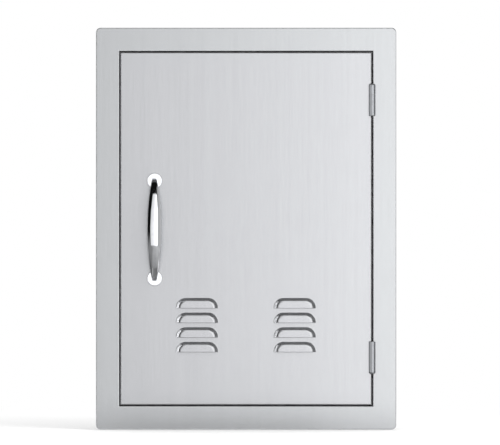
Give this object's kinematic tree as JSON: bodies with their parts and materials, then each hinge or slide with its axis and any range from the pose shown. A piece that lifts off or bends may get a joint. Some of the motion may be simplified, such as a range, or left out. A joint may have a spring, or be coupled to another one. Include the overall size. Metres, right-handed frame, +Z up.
{
  "type": "vented access door",
  "caption": "Vented stainless access door for an outdoor kitchen island: a louvred panel hinged in a flanged frame, with a bow handle and a magnetic catch.",
  "frame": {"origin": "centre of the wall cut-out, in the plane of the island's face that the surround rests on", "axes": "+Z up, the front faces -Y, +X to the right seen from the front"},
  "size_m": [0.508, 0.1175, 0.6794],
  "materials": {
    "surround_steel": "vertical brushed grain",
    "panel_steel": "vertical brushed grain",
    "liner_steel": "dull mill finish",
    "sleeve_steel": "dull mill finish",
    "hinge_steel": "satin",
    "fastener_steel": "plain bright",
    "polished_handle": "mirror polish",
    "polished_rosette": "mirror polish",
    "grey_plastic": "fine moulded grain",
    "magnet": "dull ferrite",
    "bumper_rubber": "matt"
  },
  "bodies": {
    "frame": {"face_frame": "surround_steel", "sleeve_left": "sleeve_steel", "sleeve_right": "sleeve_steel", "sleeve_top": "sleeve_steel", "sleeve_bottom": "sleeve_steel", "upper_hinge_frame_leaf": "hinge_steel", "lower_hinge_frame_leaf": "hinge_steel", "upper_hinge_pin": "hinge_steel", "lower_hinge_pin": "hinge_steel", "upper_hinge_pin_cap": "hinge_steel", "lower_hinge_pin_cap": "hinge_steel", "hinge_frame_rivets": "fastener_steel", "catch_housing": "grey_plastic", "catch_magnet": "magnet", "catch_pole_plates": "fastener_steel", "catch_screws": "fastener_steel", "door_bumpers": "bumper_rubber"},
    "door": {"door_skin": "panel_steel", "door_liner": "liner_steel", "hinge_stiffener": "sleeve_steel", "handle_backing_plate": "sleeve_steel", "upper_hinge_door_leaf": "hinge_steel", "lower_hinge_door_leaf": "hinge_steel", "hinge_door_rivets": "fastener_steel", "handle_bow": "polished_handle", "handle_rosette_upper": "polished_rosette", "handle_rosette_lower": "polished_rosette", "handle_screws": "fastener_steel", "handle_washers": "fastener_steel", "liner_plugs": "grey_plastic", "strike_plate": "fastener_steel", "strike_rivets": "fastener_steel"}
  },
  "joints": [
    {"name": "door_hinge", "type": "hinge", "parent": "frame", "child": "door", "pos_m": [0.21305, -0.012, 0], "axis": [0, 0, 1], "range_deg": [0, 170]}
  ]
}
